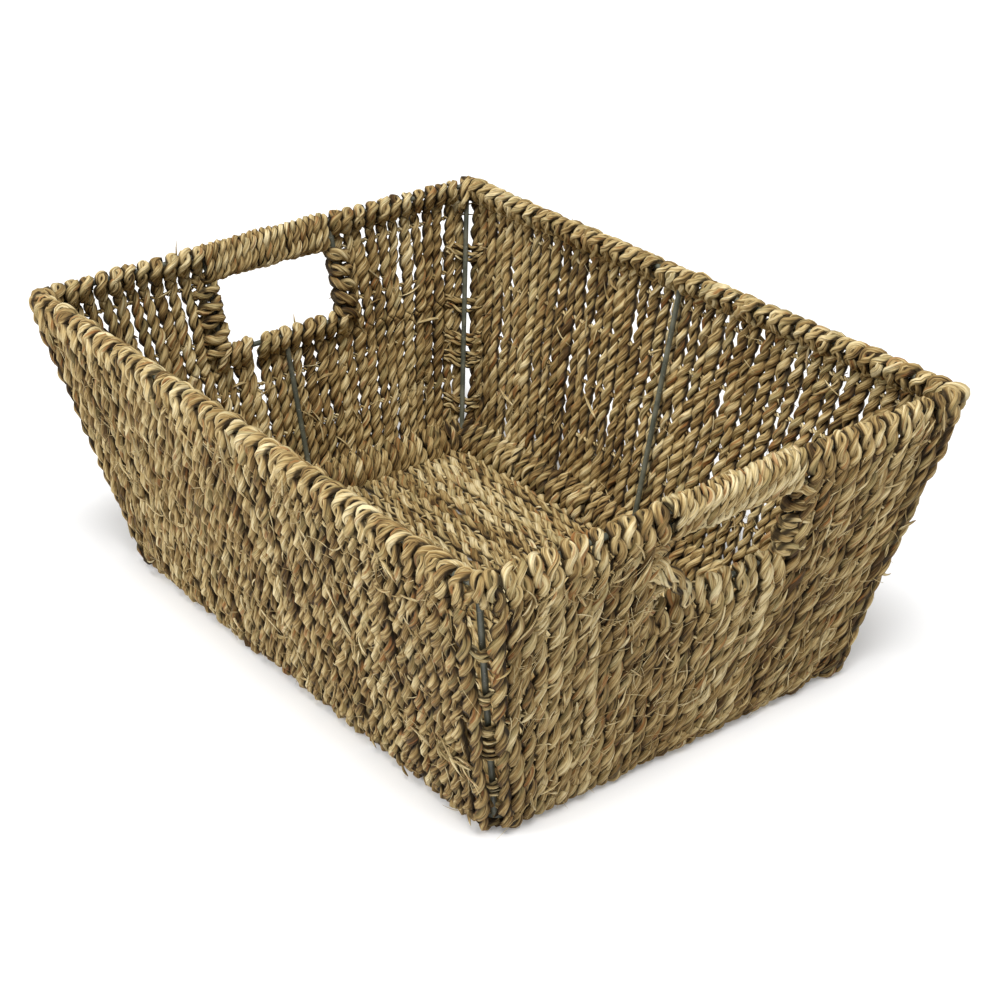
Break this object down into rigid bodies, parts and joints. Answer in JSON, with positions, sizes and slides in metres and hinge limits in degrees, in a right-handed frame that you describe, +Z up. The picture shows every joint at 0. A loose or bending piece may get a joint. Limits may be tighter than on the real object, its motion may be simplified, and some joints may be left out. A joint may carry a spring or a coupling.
{
  "type": "storage basket",
  "caption": "Open rectangular seagrass basket with tapered walls: twisted cord over a painted wire cage, with a wrapped rim and a hand hole in each end wall.",
  "frame": {"origin": "middle of the underside, on the surface it stands on", "axes": "+X along the long walls, +Y along the end walls, +Z up"},
  "size_m": [0.403, 0.303, 0.166],
  "materials": {
    "cage_wire": "satin grey-green paint",
    "seagrass_wall": "dry two-ply seagrass cord, matt",
    "seagrass_rim": "dry two-ply seagrass cord, pale, matt",
    "seagrass_base": "dry two-ply seagrass cord, matt",
    "seagrass_twine": "thin twisted seagrass twine, matt"
  },
  "bodies": {
    "root": {"rim_wire": "cage_wire", "base_wire": "cage_wire", "corner_stile_front_left": "cage_wire", "corner_stile_front_right": "cage_wire", "corner_stile_back_left": "cage_wire", "corner_stile_back_right": "cage_wire", "long_stile_front": "cage_wire", "long_stile_back": "cage_wire", "end_stile_left": "cage_wire", "end_stile_right": "cage_wire", "handle_wire_left": "cage_wire", "handle_wire_right": "cage_wire", "grip_wire_left": "cage_wire", "grip_wire_right": "cage_wire", "base_weave": "seagrass_base", "wall_weave_front": "seagrass_wall", "wall_weave_back": "seagrass_wall", "low_weave_left": "seagrass_wall", "low_weave_right": "seagrass_wall", "cheek_weave_left_a": "seagrass_wall", "cheek_weave_left_b": "seagrass_wall", "cheek_weave_right_a": "seagrass_wall", "cheek_weave_right_b": "seagrass_wall", "twine_front": "seagrass_twine", "twine_back": "seagrass_twine", "twine_left": "seagrass_twine", "twine_right": "seagrass_twine", "base_hem_front": "seagrass_wall", "base_hem_back": "seagrass_wall", "base_hem_left": "seagrass_wall", "base_hem_right": "seagrass_wall", "rim_wrap_front_a": "seagrass_rim", "rim_wrap_front_b": "seagrass_rim", "rim_wrap_back_a": "seagrass_rim", "rim_wrap_back_b": "seagrass_rim", "rim_wrap_left_a": "seagrass_rim", "rim_wrap_left_b": "seagrass_rim", "rim_wrap_right_a": "seagrass_rim", "rim_wrap_right_b": "seagrass_rim", "grip_left": "seagrass_rim", "grip_right": "seagrass_rim", "sill_wrap_left": "seagrass_rim", "sill_wrap_right": "seagrass_rim", "side_binding_left_a": "seagrass_wall", "side_binding_left_b": "seagrass_wall", "side_binding_right_a": "seagrass_wall", "side_binding_right_b": "seagrass_wall", "corner_lashing_front_left": "seagrass_wall", "corner_lashing_front_right": "seagrass_wall", "corner_lashing_back_left": "seagrass_wall", "corner_lashing_back_right": "seagrass_wall"}
  },
  "joints": []
}
